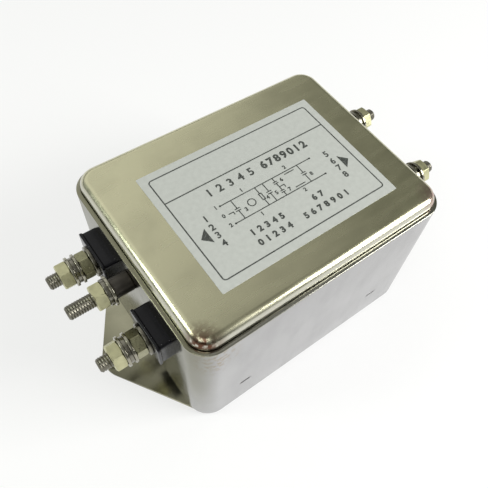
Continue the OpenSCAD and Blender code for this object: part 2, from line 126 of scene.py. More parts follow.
class HardwareSizes(bpy.types.PropertyGroup):
    """Sizes of the terminals and their fasteners."""

    stud: length("Stud radius", "Outer radius of the thread", 2.0)
    pitch: length("Thread pitch", "Travel of the thread in one turn", 0.7)
    thread_depth: length("Thread depth", "Depth of the thread", 0.13)
    stud_out: length("Stud length", "Distance of a stud's tip from the end wall", 17.9)
    stud_chamfer: length("Stud chamfer", "Chamfer at a stud's tip", 0.5)
    head: length("Head thickness", "Thickness of a stud's head", 2.8)
    across_flats: length("Across flats", "Width of a nut across its flats", 7.0)
    nut: length("Nut thickness", "Thickness of a nut", 3.2)
    flat: length("Flat washer", "Thickness of a flat washer", 0.8)
    flat_radius: length("Flat washer radius", "Outer radius of a flat washer", 4.4)
    spring: length("Spring washer", "Thickness of a spring washer", 1.1)
    spring_radius: length("Spring washer radius", "Outer radius of a spring washer", 3.8)
    split: length("Split", "Width of the split in a spring washer", 0.9)
    contact: length("Contact washer", "Thickness of a contact washer", 1.0)
    contact_radius: length("Contact washer radius", "Outer radius of a contact washer", 4.7)
    block_out: length("Block depth", "Distance that a block stands out of the wall", 4.4)
    block_width: length("Block width", "Width of a terminal block", 13.5)
    block_height: length("Block height", "Height of a terminal block", 9.6)
    lip: length("Lip thickness", "Thickness of the block's lip", 0.8)
    lip_out: length("Lip reach", "Distance that the lip stands proud", 0.35)
    boss: length("Boss radius", "Radius of the boss through the wall", 4.0)
    collar: length("Collar length", "Length of the ground stud's collar", 5.5)
    collar_radius: length("Collar radius", "Radius of the ground stud's collar", 2.9)
    turn_steps: IntProperty(name="Round steps", description="Steps round a turned piece", default=64, min=16)


class Finishes(bpy.types.PropertyGroup):
    """Main colours of the visible finishes."""

    tin: colour("Tinned steel", "Colour of the can", (0.46, 0.456, 0.459))
    lid: colour("Lid steel", "Colour of the lid", (0.665, 0.645, 0.445))
    plate: colour("Plate steel", "Colour of the base plate", (0.36, 0.35, 0.255))
    film: colour("Label film", "Colour of the label", (0.52, 0.535, 0.51))
    ink: colour("Label print", "Colour of the label's print", (0.045, 0.05, 0.045))
    moulding: colour("Black moulding", "Colour of the terminal blocks", (0.006, 0.006, 0.009))
    nut: colour("Nut plating", "Colour of the nuts", (0.60, 0.585, 0.37))
    stud: colour("Stud plating", "Colour of the studs", (0.20, 0.19, 0.155))
    washer: colour("Washer plating", "Colour of the flat washers", (0.36, 0.345, 0.28))
    spring: colour("Spring steel", "Colour of the spring washers", (0.24, 0.23, 0.19))
    collar: colour("Collar", "Colour of the ground stud's collar", (0.085, 0.078, 0.068))


def power(name, watts):
    """The power of one of the lights."""
    return FloatProperty(
        name=name, description="Power of the " + name.lower(), default=watts, min=0.0, unit="POWER"
    )


class Studio(bpy.types.PropertyGroup):
    """Camera and light."""

    lens: FloatProperty(name="Lens", description="Focal length of the camera", default=39.94, unit="CAMERA")
    key: power("Key light", 3.2)
    fill: power("Fill light", 1.2)
    side: power("Side light", 0.7)
    floor: colour("Floor", "Colour of the floor", (0.95, 0.95, 0.95))


class Shape:
    """Points and faces of a mesh under construction, in metres."""

    # Points nearer than this are one point
    WELD = 1e-7

    def __init__(self):
        self.points = []
        self.faces = []

    def ring(self, points):
        """Adds a ring of points and returns their numbers."""
        first = len(self.points)
        self.points.extend(Vector(p) for p in points)
        return list(range(first, len(self.points)))

    def skin(self, rings):
        """Joins neighbouring rings of points with faces."""
        for low, high in zip(rings, rings[1:]):
            for i in range(len(low)):
                j = (i + 1) % len(low)
                self.faces.append((low[i], low[j], high[j], high[i]))

    def cap(self, ring):
        """Closes a ring with one face."""
        self.faces.append(tuple(ring))

    def closed(self, rings):
        """Skins the rings and closes both ends."""
        self.skin(rings)
        self.cap(rings[0])
        self.cap(rings[-1])

    def place(self, placing, first=0):
        """Moves the points from number first on with a placing function."""
        for i in range(first, len(self.points)):
            self.points[i] = Vector(placing(self.points[i]))

    def mesh(self, name, sharp=35.0):
        """Turns the shape into a closed mesh with outward normals."""
        mesh = bpy.data.meshes.new(name)
        mesh.from_pydata(self.points, [], self.faces)
        work = bmesh.new()
        work.from_mesh(mesh)
        bmesh.ops.remove_doubles(work, verts=work.verts, dist=self.WELD)
        bmesh.ops.recalc_face_normals(work, faces=work.faces)
        work.to_mesh(mesh)
        work.free()
        mesh.shade_smooth()
        mesh.set_sharp_from_angle(angle=math.radians(sharp))
        return mesh


def show(name, mesh, body, slot, material, *nodes):
    """Adds a piece that rides on a body and stands for the named nodes."""
    piece = bpy.data.objects.new(name, mesh)
    bpy.context.scene.collection.objects.link(piece)
    mesh.materials.append(material)
    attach(piece, body)
    if nodes:
        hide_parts(*nodes)


def on_axis(name):
    """Places local points on a stud's axis: local z points out of the end wall and local x down."""
    end = ENDS[name]
    low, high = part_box("ground_collar" if name == "ground" else name + "_block")
    y, z = (low.y + high.y) / 2, (low.z + high.z) / 2
    return lambda p: (end * (END_X + p[2]), y + p[1], z - p[0])


def arc(cx, cz, radius, start, stop, steps):
    """Points of an arc in a profile, angles in degrees."""
    points = []
    for i in range(steps + 1):
        a = math.radians(start + (stop - start) * i / steps)
        points.append((cx + radius * math.cos(a), cz + radius * math.sin(a)))
    return points


def turned(shape, profile, steps):
    """Turns a closed profile of (radius, height) pairs round the local z."""
    rings = []
    for radius, height in profile:
        rings.append(shape.ring(
            (radius * math.cos(2 * math.pi * i / steps), radius * math.sin(2 * math.pi * i / steps), height)
            for i in range(steps)
        ))
    shape.skin(rings + rings[:1])


def washer_profile(hole, radius, low, thickness, edge):
    """Section of a washer with rounded rims."""
    high = low + thickness
    return (
        arc(radius - edge, low + edge, edge, -90, 0, 4)
        + arc(radius - edge, high - edge, edge, 0, 90, 4)
        + arc(hole + edge, high - edge, edge, 90, 180, 3)
        + arc(hole + edge, low + edge, edge, 180, 270, 3)
    )


def box_rings(shape, half_x, half_y, radius, profile, x_stations, y_stations, steps):
    """Rings round a box with round corners, one for each pair of inset and height in the profile."""
    rings = []
    for inset, z in profile:
        far_x, far_y, bend = half_x - inset, half_y - inset, radius - inset
        sides = (
            ([(x, -far_y) for x in x_stations], 1, -1, -90),
            ([(far_x, y) for y in y_stations], 1, 1, 0),
            ([(x, far_y) for x in reversed(x_stations)], -1, 1, 90),
            ([(-far_x, y) for y in reversed(y_stations)], -1, -1, 180),
        )
        points = []
        for straight, right, away, start in sides:
            corner = arc(right * (far_x - bend), away * (far_y - bend), bend, start, start + 90, steps)
            points += straight + corner[1:-1]
        rings.append(shape.ring((x, y, z) for x, y in points))
    return rings


def stations(half, spots, reach, step):
    """Stations along a straight side: both ends and fine steps round each spot."""
    places = {-half, half}
    for spot in spots:
        count = int(reach / step)
        for i in range(-count, count + 1):
            places.add(spot + i * step)
    return sorted(p for p in places if abs(p) <= half)


class Graph:
    """The nodes of a material or of the room."""

    def __init__(self, owner):
        owner.use_nodes = True
        self.nodes = owner.node_tree.nodes
        self.links = owner.node_tree.links

    def node(self, kind, inputs, result=0, **settings):
        """Adds a node, links or sets its inputs, and returns one of its outputs."""
        node = self.nodes.new("ShaderNode" + kind)
        for setting, value in settings.items():
            setattr(node, setting, value)
        for socket, value in inputs.items():
            if isinstance(value, bpy.types.NodeSocket):
                self.links.new(value, node.inputs[socket])
            else:
                node.inputs[socket].default_value = value
        return node.outputs[result]

    def spread(self, value, low, high, to_low=0.0, to_high=1.0, way="LINEAR"):
        """Maps a value from one range to another, held at both ends."""
        inputs = {"Value": value, "From Min": low, "From Max": high, "To Min": to_low, "To Max": to_high}
        return self.node("MapRange", inputs, interpolation_type=way)

    def maths(self, operation, a, b=0.0, clamp=False):
        """A sum, a product or another operation on one or two values."""
        return self.node("Math", {0: a, 1: b}, operation=operation, use_clamp=clamp)

    def part(self, vector, axis):
        """One part of a vector."""
        return self.node("SeparateXYZ", {0: vector}, axis)

    def mix(self, share, under, over):
        """Mixes one colour over another by a share."""
        inputs = {"Factor": share}
        for socket, value in ((6, under), (7, over)):
            inputs[socket] = value if isinstance(value, bpy.types.NodeSocket) else (*value, 1.0)
        return self.node("Mix", inputs, 2, data_type="RGBA")


class Finish(Graph):
    """A material under construction, with the object's own coordinates."""

    # Nearly all of the noise lies between these values
    NOISE_LOW, NOISE_HIGH = 0.3, 0.7
    # Share of its reach over which a place near a point is fully tinted, and the detail of its spots
    CORE_SHARE = 0.3
    SPOT_DETAIL = 4.0

    def __init__(self, name, base, roughness, metal=0.0):
        self.material = bpy.data.materials.new(name)
        super().__init__(self.material)
        self.shader = self.nodes["Principled BSDF"]
        self.put("Base Color", (*base, 1.0))
        self.put("Roughness", roughness)
        self.put("Metallic", metal)
        self.coords = self.node("TexCoord", {}, "Object")
        self.colour = tuple(base)
        self.normal = None

    def put(self, socket, value):
        """Sets a shader socket to a constant."""
        self.shader.inputs[socket].default_value = value

    def grain(self, size, detail, stretch=None):
        """Noise whose features are about size metres across, stretched along the object's axes."""
        where = self.coords
        if stretch:
            where = self.node("Mapping", {"Vector": where, "Scale": stretch})
        return self.node("TexNoise", {"Vector": where, "Scale": 1.0 / size, "Detail": detail})

    def cells(self, size):
        """Distance to scattered points about size metres apart."""
        return self.node("TexVoronoi", {"Vector": self.coords, "Scale": 1.0 / size}, "Distance")

    def near(self, point, reach):
        """One at a point of the object, falling to nothing at reach metres from it."""
        away = self.node("VectorMath", {0: self.coords, 1: point}, "Value", operation="DISTANCE")
        return self.spread(away, self.CORE_SHARE * reach, reach, 1.0, 0.0)

    def along(self, axis, start, stop, most):
        """Rises from nothing to most as the distance from the middle goes from start to stop."""
        away = self.maths("ABSOLUTE", self.part(self.coords, axis))
        return self.spread(away, start, stop, 0.0, most)

    def tint(self, other, share):
        """Mixes another colour over the finish by a varying share."""
        self.colour = self.mix(share, self.colour, other)
        self.links.new(self.colour, self.shader.inputs["Base Color"])

    def patches(self, other, size, detail, start, full, most=1.0, stretch=None):
        """Tints patches, from where the grain passes start to where it reaches full."""
        self.tint(other, self.spread(self.grain(size, detail, stretch), start, full, 0.0, most))

    def spots(self, other, point, reach, size, start, full, most=1.0):
        """Tints spots near a point of the object."""
        spot = self.spread(self.grain(size, self.SPOT_DETAIL), start, full, 0.0, most)
        self.tint(other, self.maths("MULTIPLY", self.near(point, reach), spot))

    def gloss(self, low, high, size, detail, stretch=None):
        """Lets the roughness wander between two values."""
        grain = self.grain(size, detail, stretch)
        value = self.spread(grain, self.NOISE_LOW, self.NOISE_HIGH, low, high)
        self.links.new(value, self.shader.inputs["Roughness"])

    def bump(self, depth, strength, size, detail, stretch=None):
        """Adds grain of the given depth in metres to the surface."""
        inputs = {"Strength": strength, "Distance": depth, "Height": self.grain(size, detail, stretch)}
        if self.normal:
            inputs["Normal"] = self.normal
        self.normal = self.node("Bump", inputs)
        self.links.new(self.normal, self.shader.inputs["Normal"])


def darker(base, share):
    """A colour taken down by a share."""
    return tuple(c * share for c in base)


# Second colours of the finishes, where they aren't a darker tone of the first
DULL_SPOT = (0.40, 0.36, 0.28)
RUST = (0.36, 0.305, 0.225)
# Painted shade: the dark tone of the can's end walls and their corners, standing in for the shadowed floor
# they mirror
CORNER_SHADE = (0.18, 0.177, 0.125)
# Painted shade: a darker olive tone on the can's rim that dims its reflection
RIM_PAINTED_SHADE = (0.34, 0.33, 0.22)
# Painted reflection: a pale neutral tone on the lid's roll so its reflections look neutral rather than warm
LID_ROLL_PAINTED_REFLECTION = (0.57, 0.565, 0.52)
# Painted reflections at the lid's front corners: a dark brown one at the left and a pinkish highlight at the
# right
LID_CORNER_REFLECTIONS = {-1: (0.13, 0.065, 0.04), 1: (0.50, 0.36, 0.31)}
# Painted shade: the dark tone of the plate's ears
EAR_SHADE = (0.13, 0.127, 0.085)
WORN_INK = (0.20, 0.21, 0.20)
PALE_SPECKS = (0.16, 0.16, 0.17)


def tinned_steel():
    """Bright drawn steel with soft waves, draw lines and a few dull spots, with painted shade on the end
    walls, towards the bottom and on the rim.
    """
    base = bpy.context.scene.filter_finishes.tin
    wave, line = (1.0, 1.0, 0.35), (1.0, 1.0, 0.12)
    f = Finish("tinned_steel", base, 0.16, metal=1.0)
    f.patches(darker(base, 0.86), size=9 * MM, detail=4.0, start=0.45, full=0.75, stretch=(1.0, 1.0, 0.5))
    f.patches(DULL_SPOT, size=1.6 * MM, detail=5.0, start=0.66, full=0.80, most=0.45)
    corner = (CAN_LOW.x + 4 * MM, CAN_LOW.y, CAN_HIGH.z - 5 * MM)
    f.spots(RUST, corner, reach=10 * MM, size=1.2 * MM, start=0.46, full=0.62, most=0.8)
    # Painted shade: the end walls and their corners darkened
    f.tint(CORNER_SHADE, f.along("X", END_X - 6.0 * MM, END_X - 0.5 * MM, most=0.92))
    # Painted shade: the wall is darker towards the bottom, for the floor's shadow that it mirrors
    f.tint(darker(base, 0.78), f.along("Z", 26.0 * MM, 2.0 * MM, most=0.8))
    # Painted shade: the rim darkened to olive
    f.tint(RIM_PAINTED_SHADE, f.along("Z", CAN_HIGH.z - 0.9 * MM, CAN_HIGH.z - 0.3 * MM, most=0.45))
    f.gloss(low=0.13, high=0.24, size=5 * MM, detail=4.0, stretch=wave)
    f.bump(depth=0.35 * MM, strength=0.5, size=26 * MM, detail=1.0)
    f.bump(depth=0.010 * MM, strength=0.5, size=0.9 * MM, detail=3.0, stretch=line)
    return f.material


def lid_steel():
    """Satin rolled steel with a warm cast and fine pits, with a painted reflection on the roll and painted
    reflections at the front corners.
    """
    base = bpy.context.scene.filter_finishes.lid
    f = Finish("lid_steel", base, 0.28, metal=1.0)
    f.patches(darker(base, 0.88), size=11 * MM, detail=5.0, start=0.42, full=0.72)
    # Painted reflection: the roll along the lid's top tinted pale and neutral
    f.tint(LID_ROLL_PAINTED_REFLECTION, f.along("Z", LID_HIGH.z - 0.1 * MM, LID_HIGH.z - 1.3 * MM, most=0.75))
    # Painted reflections: spotted tones at both front corners of the lid
    for end, corner_reflection in LID_CORNER_REFLECTIONS.items():
        corner = (end * (LID_HIGH.x - 1.5 * MM), LID_LOW.y + 1.5 * MM, LID_HIGH.z - 2.0 * MM)
        f.spots(corner_reflection, corner, reach=7.0 * MM, size=1.3 * MM, start=0.32, full=0.50)
    f.gloss(low=0.20, high=0.30, size=2.5 * MM, detail=4.0, stretch=(0.25, 1.0, 1.0))
    f.bump(depth=0.3 * MM, strength=0.35, size=34 * MM, detail=1.0)
    f.bump(depth=0.012 * MM, strength=0.6, size=0.35 * MM, detail=2.0)
    return f.material


def plate_steel():
    """Plain plated sheet with light scuffs and painted shade on the ears."""
    base = bpy.context.scene.filter_finishes.plate
    f = Finish("plate_steel", base, 0.14, metal=1.0)
    f.patches(darker(base, 0.75), size=9 * MM, detail=4.0, start=0.45, full=0.8)
    # Painted shade: the ears darken from 3 mm to 13 mm out from the can
    f.tint(EAR_SHADE, f.along("X", END_X + 3 * MM, END_X + 13 * MM, most=0.7))
    f.gloss(low=0.10, high=0.20, size=5 * MM, detail=4.0)
    f.bump(depth=0.25 * MM, strength=0.3, size=30 * MM, detail=1.0)
    return f.material


def label_film():
    """Pale matt film with a faint mottle."""
    base = bpy.context.scene.filter_finishes.film
    f = Finish("label_film", base, 0.6)
    f.put("Specular IOR Level", 0.1)
    f.patches(darker(base, 0.93), size=1.4 * MM, detail=4.0, start=0.35, full=0.7)
    f.gloss(low=0.55, high=0.7, size=3 * MM, detail=3.0)
    f.bump(depth=0.03 * MM, strength=0.5, size=12 * MM, detail=2.0)
    return f.material


def label_print():
    """Dark ink with worn patches."""
    f = Finish("label_print", bpy.context.scene.filter_finishes.ink, 0.5)
    f.patches(WORN_INK, size=0.5 * MM, detail=4.0, start=0.52, full=0.75, most=0.8)
    f.gloss(low=0.42, high=0.6, size=0.6 * MM, detail=3.0)
    return f.material


def black_moulding():
    """Glossy black thermoset with flow marks and small pale specks."""
    f = Finish("black_moulding", bpy.context.scene.filter_finishes.moulding, 0.2)
    f.put("Specular IOR Level", 0.3)
    # Small pale specks scattered over the moulding
    f.tint(PALE_SPECKS, f.spread(f.cells(1.3 * MM), 0.12, 0.04, to_high=0.8))
    f.gloss(low=0.10, high=0.28, size=1.5 * MM, detail=4.0)
    f.bump(depth=0.02 * MM, strength=0.4, size=1.2 * MM, detail=3.0)
    return f.material


def plated(name, base, rough, mark):
    """Plated steel hardware with handling marks and uneven tarnish."""
    f = Finish(name, base, rough, metal=1.0)
    f.patches(darker(base, 0.78), size=2.2 * MM, detail=4.0, start=0.45, full=0.8)
    f.gloss(low=rough * 0.85, high=rough * 1.3, size=0.8 * MM, detail=3.0)
    f.bump(depth=0.006 * MM, strength=0.3, size=mark, detail=2.0)
    return f.material


def plain_finish(name, base, rough, metal, other, size, depth):
    """A two-colour grained finish for the parts inside the can."""
    f = Finish(name, base, rough, metal)
    f.patches(other, size=size, detail=4.0, start=0.4, full=0.68)
    f.gloss(low=rough * 0.8, high=min(1.0, rough * 1.3), size=size * 0.6, detail=3.0)
    f.bump(depth=depth, strength=0.6, size=size * 0.5, detail=3.0)
    return f.material


# Where the photograph was taken from: the camera's axes, its place in millimetres and its shift
VIEW_RIGHT = (0.797523, -0.597721, 0.081776)
VIEW_ABOVE = (0.474685, 0.705380, 0.526415)
VIEW_BACK = (-0.372332, -0.381010, 0.846286)
VIEW_PLACE = (-63.564, -70.054, 171.484)
VIEW_SHIFT = (-0.0428, 0.0108)
FILM_WIDTH = 36.0

# Half the floor's width in metres
FLOOR_HALF = 4.0
# Share of plain white in what the camera and the metal see of the floor
FLOOR_WHITE = 0.65

# Soft boxes: direction from the filter, distance, width and height in metres, and tone
SOFT_BOXES = {
    "key": ((0.60, -0.60, 0.56), 0.60, 0.30, 0.26, (1.0, 1.0, 0.98)),
    "fill": ((-0.50, -0.35, 0.79), 0.80, 0.45, 0.45, (1.0, 1.0, 1.0)),
    "side": ((-0.70, 0.34, 0.63), 0.60, 0.12, 0.22, (0.93, 1.0, 0.90)),
}
LIT_POINT = (0, 0, 30 * MM)

# The room brightens along this direction, from the near tone to the far one
ROOM_LEAN, LEAN_RANGE = (-0.464, 0.693, 0.0), (-0.1, 0.50)
ROOM_NEAR, ROOM_FAR = (0.22, 0.22, 0.205), (0.92, 0.92, 0.88)
# Its dim sides: their tone, where along X they come in, and their share
ROOM_RIGHT, RIGHT_RANGE, RIGHT_SHARE = (0.17, 0.175, 0.15), (0.44, 0.58), 0.75
ROOM_LEFT, LEFT_RANGE, LEFT_SHARE = (0.17, 0.19, 0.165), (-0.30, -0.55), 0.85
# Its pale horizon, and the heights over which that gives way; the dim shelf above it
ROOM_LOW, HORIZON_RANGE = (0.95, 0.95, 0.95), (0.09, 0.17)
ROOM_SHELF = (0.14, 0.15, 0.13)
# Heights at which the shelf's dim tone starts, is full, starts to fade and ends
SHELF_START, SHELF_FULL, SHELF_FADE, SHELF_END = 0.15, 0.22, 0.33, 0.40


class FILTER_OT_stage(bpy.types.Operator):
    """Build the floor, the lights, the surroundings and the camera"""

    bl_idname = "power_filter.stage"
    bl_label = "Stage"

    def execute(self, context):
        studio = context.scene.filter_studio
        self.camera(context, studio)
        self.floor(context, studio)
        self.lights(context, studio)
        self.surroundings(context)
        context.scene.view_settings.view_transform = "Standard"
        return {"FINISHED"}

    def camera(self, context, studio):
        """Puts the camera where the photograph was taken."""
        data = bpy.data.cameras.new("camera")
        data.lens = studio.lens
        data.sensor_width = FILM_WIDTH
        data.shift_x, data.shift_y = VIEW_SHIFT
        data.clip_start = 10 * MM
        camera = bpy.data.objects.new("camera", data)
        turn = Matrix((VIEW_RIGHT, VIEW_ABOVE, VIEW_BACK)).transposed()
        camera.matrix_world = Matrix.Translation(Vector(VIEW_PLACE) * MM) @ turn.to_4x4()
        context.scene.collection.objects.link(camera)
        context.scene.camera = camera

    def floor(self, context, studio):
        """A plain pale floor that keeps the filter's shadow."""
        mesh = bpy.data.meshes.new("floor")
        corners = [(x * FLOOR_HALF, y * FLOOR_HALF, 0) for x, y in ((-1, -1), (1, -1), (1, 1), (-1, 1))]
        mesh.from_pydata(corners, [], [(0, 1, 2, 3)])
        floor = bpy.data.objects.new("floor", mesh)
        context.scene.collection.objects.link(floor)
        material = bpy.data.materials.new("floor")
        graph = Graph(material)
        shader = graph.nodes["Principled BSDF"]
        shader.inputs["Base Color"].default_value = (*studio.floor, 1.0)
        shader.inputs["Roughness"].default_value = 1.0
        shader.inputs["Specular IOR Level"].default_value = 0.0
        rays = graph.nodes.new("ShaderNodeLightPath").outputs
        seen = graph.maths("ADD", rays["Is Camera Ray"], rays["Is Glossy Ray"])
        seen = graph.maths("ADD", seen, rays["Is Transmission Ray"])
        share = graph.maths("MULTIPLY", seen, FLOOR_WHITE, clamp=True)
        white = graph.node("Emission", {})
        mixed = graph.node("MixShader", {0: share, 1: shader.outputs[0], 2: white})
        graph.links.new(mixed, graph.nodes["Material Output"].inputs["Surface"])
        mesh.materials.append(material)

    def lights(self, context, studio):
        """Soft boxes: a key at the front right, a fill over the camera and a side strip."""
        for name, (direction, distance, wide, high, tone) in SOFT_BOXES.items():
            data = bpy.data.lights.new(name, "AREA")
            data.shape = "RECTANGLE"
            data.size = wide
            data.size_y = high
            data.energy = getattr(studio, name)
            data.color = tone
            light = bpy.data.objects.new(name, data)
            aim = Vector(direction).normalized()
            light.location = Vector(LIT_POINT) + aim * distance
            light.rotation_euler = aim.to_track_quat("Z", "Y").to_euler()
            context.scene.collection.objects.link(light)

    def surroundings(self, context):
        """A plain room: pale at the horizon, brighter to the back left, dimmer at both sides."""
        world = bpy.data.worlds.new("room")
        context.scene.world = world
        room = Graph(world)
        way = room.node("TexCoord", {}, "Generated")
        x, z = room.part(way, "X"), room.part(way, "Z")
        lean = room.node("VectorMath", {0: way, 1: ROOM_LEAN}, "Value", operation="DOT_PRODUCT")
        tone = room.mix(room.spread(lean, *LEAN_RANGE), ROOM_NEAR, ROOM_FAR)
        right = room.spread(x, *RIGHT_RANGE, to_high=RIGHT_SHARE, way="SMOOTHSTEP")
        tone = room.mix(right, tone, ROOM_RIGHT)
        left = room.spread(x, *LEFT_RANGE, to_high=LEFT_SHARE, way="SMOOTHSTEP")
        tone = room.mix(left, tone, ROOM_LEFT)
        rise = room.spread(z, *HORIZON_RANGE, way="SMOOTHSTEP")
        tone = room.mix(rise, ROOM_LOW, tone)
        shelf = room.nodes.new("ShaderNodeValToRGB")
        shelf.color_ramp.interpolation = "EASE"
        stops = shelf.color_ramp.elements
        for stop, place in zip(stops, (SHELF_START, SHELF_END)):
            stop.position, stop.color = place, (0.0, 0.0, 0.0, 1.0)
        for place in (SHELF_FULL, SHELF_FADE):
            stops.new(place).color = (1.0, 1.0, 1.0, 1.0)
        room.links.new(z, shelf.inputs[0])
        tone = room.mix(shelf.outputs[0], tone, ROOM_SHELF)
        room.links.new(tone, room.nodes["Background"].inputs["Color"])


class FILTER_OT_can(bpy.types.Operator):
    """Build the drawn can with its rounded rim and its press marks"""

    bl_idname = "power_filter.can"
    bl_label = "Can"

    CORNER_STEPS = 18
    # How far these points reach from a mark's middle, as a share of its length
    REACH_SHARE = 0.75
    # Spacing of the wall's points round a press mark: along it, and up it with the rows each way
    MARK_STEP = 0.2 * MM
    ROW_STEP, ROWS = 0.1 * MM, 12
    # Width of a mark's slope, and the share of its depth where the slope's middle lies
    SLOPE, SLOPE_MIDDLE = 0.4 * MM, 0.3
    # How near to the front wall a point has to be to belong to it
    WALL_NEAR = 0.01 * MM

    def execute(self, context):
        s = context.scene.filter_can
        half_x, half_y = CAN_HIGH.x, CAN_HIGH.y
        low, high = CAN_LOW.z, CAN_HIGH.z
        marks = (-s.mark_left, s.mark_right)
        xs = stations(half_x - s.corner, marks, s.mark_length * self.REACH_SHARE, self.MARK_STEP)
        ys = [s.corner - half_y, half_y - s.corner]
        profile = arc(s.foot, low + s.foot, s.foot, 270, 180, 7)
        profile += [(0.0, s.mark_z + i * self.ROW_STEP) for i in range(-self.ROWS, self.ROWS + 1)]
        profile += arc(s.rim, high - s.rim, s.rim, 180, 90, 5)
        profile += arc(s.wall - s.rim_in, high - s.rim_in, s.rim_in, 90, 0, 4)
        profile += [(s.wall, s.floor)]
        shape = Shape()
        rings = box_rings(shape, half_x, half_y, s.corner, profile, xs, ys, self.CORNER_STEPS)
        shape.closed(rings)
        for p in shape.points:
            if p.y < self.WALL_NEAR - half_y and abs(p.z - s.mark_z) < s.mark_height:
                p.y += self.press(p, marks, s)
        show("drawn_can", shape.mesh("can", sharp=60.0), "case", "tinned_steel", tinned_steel(), "can")
        return {"FINISHED"}

    def press(self, point, marks, s):
        """Depth of the press marks at a point of the front wall."""
        depth = 0.0
        for mark in marks:
            along = max(abs(point.x - mark) - (s.mark_length - s.mark_height) / 2, 0.0)
            away = math.hypot(along, point.z - s.mark_z)
            share = min(max((s.mark_height / 2 - away) / self.SLOPE + self.SLOPE_MIDDLE, 0.0), 1.0)
            depth = max(depth, s.mark_depth * share * share * (3 - 2 * share))
        return depth


class FILTER_OT_lid(bpy.types.Operator):
    """Build the lid, a drawn tray with a rolled edge"""

    bl_idname = "power_filter.lid"
    bl_label = "Lid"

    BREAK = 0.1 * MM
    CORNER_STEPS = 16

    def execute(self, context):
        s = context.scene.filter_can
        half_x, half_y = LID_HIGH.x + s.lid_out, LID_HIGH.y + s.lid_out
        low, high = LID_LOW.z, LID_HIGH.z
        sheet, edge, corner = s.lid_sheet, s.lid_edge, s.lid_corner
        xs = [corner - half_x, half_x - corner]
        ys = [corner - half_y, half_y - corner]
        outer = [(sheet - self.BREAK, low), (self.BREAK, low), (0.0, low + self.BREAK)]
        outer += arc(edge, high - edge, edge, 180, 90, 16)
        inner = arc(edge, high - edge, edge - sheet, 90, 180, 8) + [(sheet, low + self.BREAK)]
        shape = Shape()
        outer = box_rings(shape, half_x, half_y, corner, outer, xs, ys, self.CORNER_STEPS)
        inner = box_rings(shape, half_x, half_y, corner, inner, xs, ys, self.CORNER_STEPS)
        shape.skin(outer)
        shape.skin(inner + outer[:1])
        shape.cap(outer[-1])
        shape.cap(inner[0])
        show("lid_tray", shape.mesh("lid", sharp=60.0), "case", "lid_steel", lid_steel(), "lid")
        return {"FINISHED"}


class FILTER_OT_plate(bpy.types.Operator):
    """Build the base plate with its two slotted ears"""

    bl_idname = "power_filter.plate"
    bl_label = "Base plate"

    # How far an ear's root lies under the can, and the steps round its tip
    ROOT_IN = 1.0 * MM
    TIP_STEPS = 40

    def execute(self, context):
        s = context.scene.filter_can
        shape = Shape()
        edge = s.plate_edge
        section = arc(edge, PLATE_LOW.z + edge, edge, 270, 180, 3)
        section += arc(edge, PLATE_HIGH.z - edge, edge, 180, 90, 3)
        loops = [(self.ear(1, s) + self.ear(-1, s), 1)]
        loops += [(self.slot(end * s.slot_pitch / 2, s), -1) for end in (-1, 1)]
        rims = []
        for loop, inward in loops:
            rings = [shape.ring((x, y, z) for x, y in self.inset(loop, d * inward)) for d, z in section]
            shape.skin(rings)
            rims.append((rings[0], rings[-1]))
        for face in zip(*rims):
            numbers = [i for loop in face for i in loop]
            flat = [[Vector((*shape.points[i].xy, 0.0)) for i in loop] for loop in face]
            for triangle in tessellate_polygon(flat):
                shape.faces.append(tuple(numbers[i] for i in triangle))
        mesh = shape.mesh("base_plate")
        show("base_plate_sheet", mesh, "case", "plate_steel", plate_steel(), "base_plate")
        return {"FINISHED"}

    def ear(self, end, s):
        """Outline of one ear, turning left from its root round the tip."""
        root_x = CAN_HIGH.x - self.ROOT_IN
        tip_x = PLATE_HIGH.x - s.ear_tip
        reach = math.hypot(tip_x - root_x, s.ear_root)
        side = math.atan2(s.ear_root, tip_x - root_x) - math.asin(s.ear_tip / reach)
        sweep = 90 - math.degrees(side)
        tip = arc(tip_x, 0.0, s.ear_tip, -sweep, sweep, self.TIP_STEPS)
        points = [(root_x, -s.ear_root)] + tip + [(root_x, s.ear_root)]
        return [(end * x, end * y) for x, y in points]

    def slot(self, middle, s):
        """Outline of a mounting slot, turning left."""
        radius = s.slot_width / 2
        half = s.slot_length / 2 - radius
        points = arc(middle + half, 0.0, radius, -90, 90, 16)
        return points + arc(middle - half, 0.0, radius, 90, 270, 16)

    def inset(self, loop, distance):
        """Moves a loop to its left by a distance."""
        moved = []
        count = len(loop)
        for i in range(count):
            before, here, after = (Vector(loop[(i + k) % count]) for k in (-1, 0, 1))
            a = (here - before).normalized()
            b = (after - here).normalized()
            left = Vector((-a.y - b.y, a.x + b.x)).normalized()
            moved.append(tuple(here + left * distance))
        return moved


